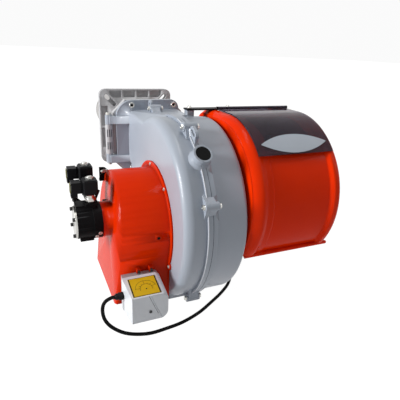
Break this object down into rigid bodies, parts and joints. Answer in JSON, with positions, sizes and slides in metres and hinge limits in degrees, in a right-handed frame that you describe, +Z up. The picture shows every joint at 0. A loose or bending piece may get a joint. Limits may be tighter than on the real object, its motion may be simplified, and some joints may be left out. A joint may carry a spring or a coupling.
{
  "type": "light oil burner",
  "caption": "Light-oil boiler burner: square flange and blast tube, swing-out cast fan housing with intake box, oil pump, damper motor and a round hood.",
  "frame": {"origin": "centre of the boiler flange on the face that meets the boiler, on the blast tube axis", "axes": "+Y along the blast tube into the boiler, +Z up, +X to the right along the fan shaft, seen from the front"},
  "size_m": [0.669, 1.0716, 0.538],
  "materials": {
    "flange_grey": "cast, matt",
    "body_grey": "smooth grey paint",
    "zinc_steel": "zinc plated",
    "tube_steel": "rolled steel",
    "brass": "turned",
    "ceramic": "glazed ceramic",
    "fan_steel": "galvanised",
    "machined_steel": "machined",
    "motor_grey": "cast",
    "black_paint": "black paint",
    "black_screws": "black oxide",
    "black_plastic": "moulded",
    "black_rubber": "matt",
    "orange_paint": "gloss orange-red paint",
    "servo_grey": "smooth pale grey",
    "servo_base_grey": "cast",
    "plate_yellow": "yellow plate",
    "smoked_window": "smoked, clear",
    "leaf_grey": "plain plate",
    "box_red": "moulded",
    "button_red": "moulded"
  },
  "bodies": {
    "flange": {"boiler_flange": "flange_grey", "clamp_screws": "zinc_steel"},
    "head": {"blast_tube": "tube_steel", "head_plate": "flange_grey", "hinge_pin": "zinc_steel"},
    "nozzle_line": {"oil_lance": "tube_steel", "nozzles": "brass", "electrodes": "ceramic", "electrode_clamp": "tube_steel", "lance_spider": "tube_steel", "flame_disc": "tube_steel"},
    "burner": {"housing_left": "body_grey", "housing_right": "body_grey", "seam_screws": "zinc_steel", "back_plate_screws": "zinc_steel", "black_plugs": "black_rubber", "motor_case": "motor_grey", "motor_end_shields": "motor_grey", "motor_bearings": "machined_steel", "motor_fan_cowl": "black_paint", "terminal_box": "motor_grey", "intake_box": "orange_paint", "intake_screws": "zinc_steel", "pump_support": "body_grey", "damper_bushes": "black_plastic", "servo_base": "servo_base_grey", "servo_case": "servo_grey", "servo_plate": "plate_yellow", "servo_screws": "black_screws", "cable_gland": "black_plastic", "servo_cable": "black_rubber", "pump_body": "black_paint", "pump_cover": "black_paint", "pump_screws": "black_screws", "pump_plugs": "zinc_steel", "valve_block": "black_paint", "valve_stems": "zinc_steel", "valve_coils": "black_plastic", "coil_nuts": "zinc_steel", "valve_connectors": "black_plastic", "front_valve_cable": "black_rubber", "rear_valve_cable": "black_rubber", "valve_bracket": "black_paint", "hood": "orange_paint", "hood_screws": "zinc_steel", "hood_bar": "black_paint", "window_pin": "zinc_steel", "panel_tray": "fan_steel", "control_box": "box_red", "ignition_transformer": "black_plastic", "contactor": "black_plastic"},
    "fan": {"fan_wheel": "fan_steel", "motor_shaft": "machined_steel", "shaft_coupling": "black_plastic"},
    "damper": {"damper_flap": "fan_steel", "damper_spindle": "fan_steel"},
    "window": {"window": "smoked_window", "leaf_plate": "leaf_grey"},
    "main_switch": {"power_switch": "black_plastic"},
    "reset": {"reset_button": "button_red"}
  },
  "joints": [
    {"name": "flange_slide", "type": "slide", "parent": "flange", "child": "head", "axis": [0, 1, 0], "range_m": [-0.04, 0.04]},
    {"name": "nozzle_slide", "type": "slide", "parent": "head", "child": "nozzle_line", "axis": [0, 1, 0], "range_m": [-0.012, 0.01]},
    {"name": "body_hinge", "type": "hinge", "parent": "head", "child": "burner", "pos_m": [-0.135, -0.191, -0.005], "axis": [0, 0, 1], "range_deg": [-90, 0]},
    {"name": "fan_spin", "type": "hinge", "parent": "burner", "child": "fan", "pos_m": [-0.02, -0.464, -0.155], "axis": [1, 0, 0], "continuous": true},
    {"name": "damper_turn", "type": "hinge", "parent": "burner", "child": "damper", "pos_m": [-0.142, -0.456, -0.285], "axis": [0, 1, 0], "range_deg": [0, 90]},
    {"name": "window_hinge", "type": "hinge", "parent": "burner", "child": "window", "pos_m": [0.238, -0.429, 0.123], "axis": [-1, 0, 0], "range_deg": [0, 75]},
    {"name": "switch_rock", "type": "hinge", "parent": "burner", "child": "main_switch", "pos_m": [0.285, -0.536, 0.014], "axis": [1, 0, 0], "range_deg": [-8, 8]},
    {"name": "reset_press", "type": "slide", "parent": "burner", "child": "reset", "axis": [0, 0, -1], "range_m": [0, 0.003], "stiffness_N_per_m": 400, "springref_m": -0.002}
  ]
}
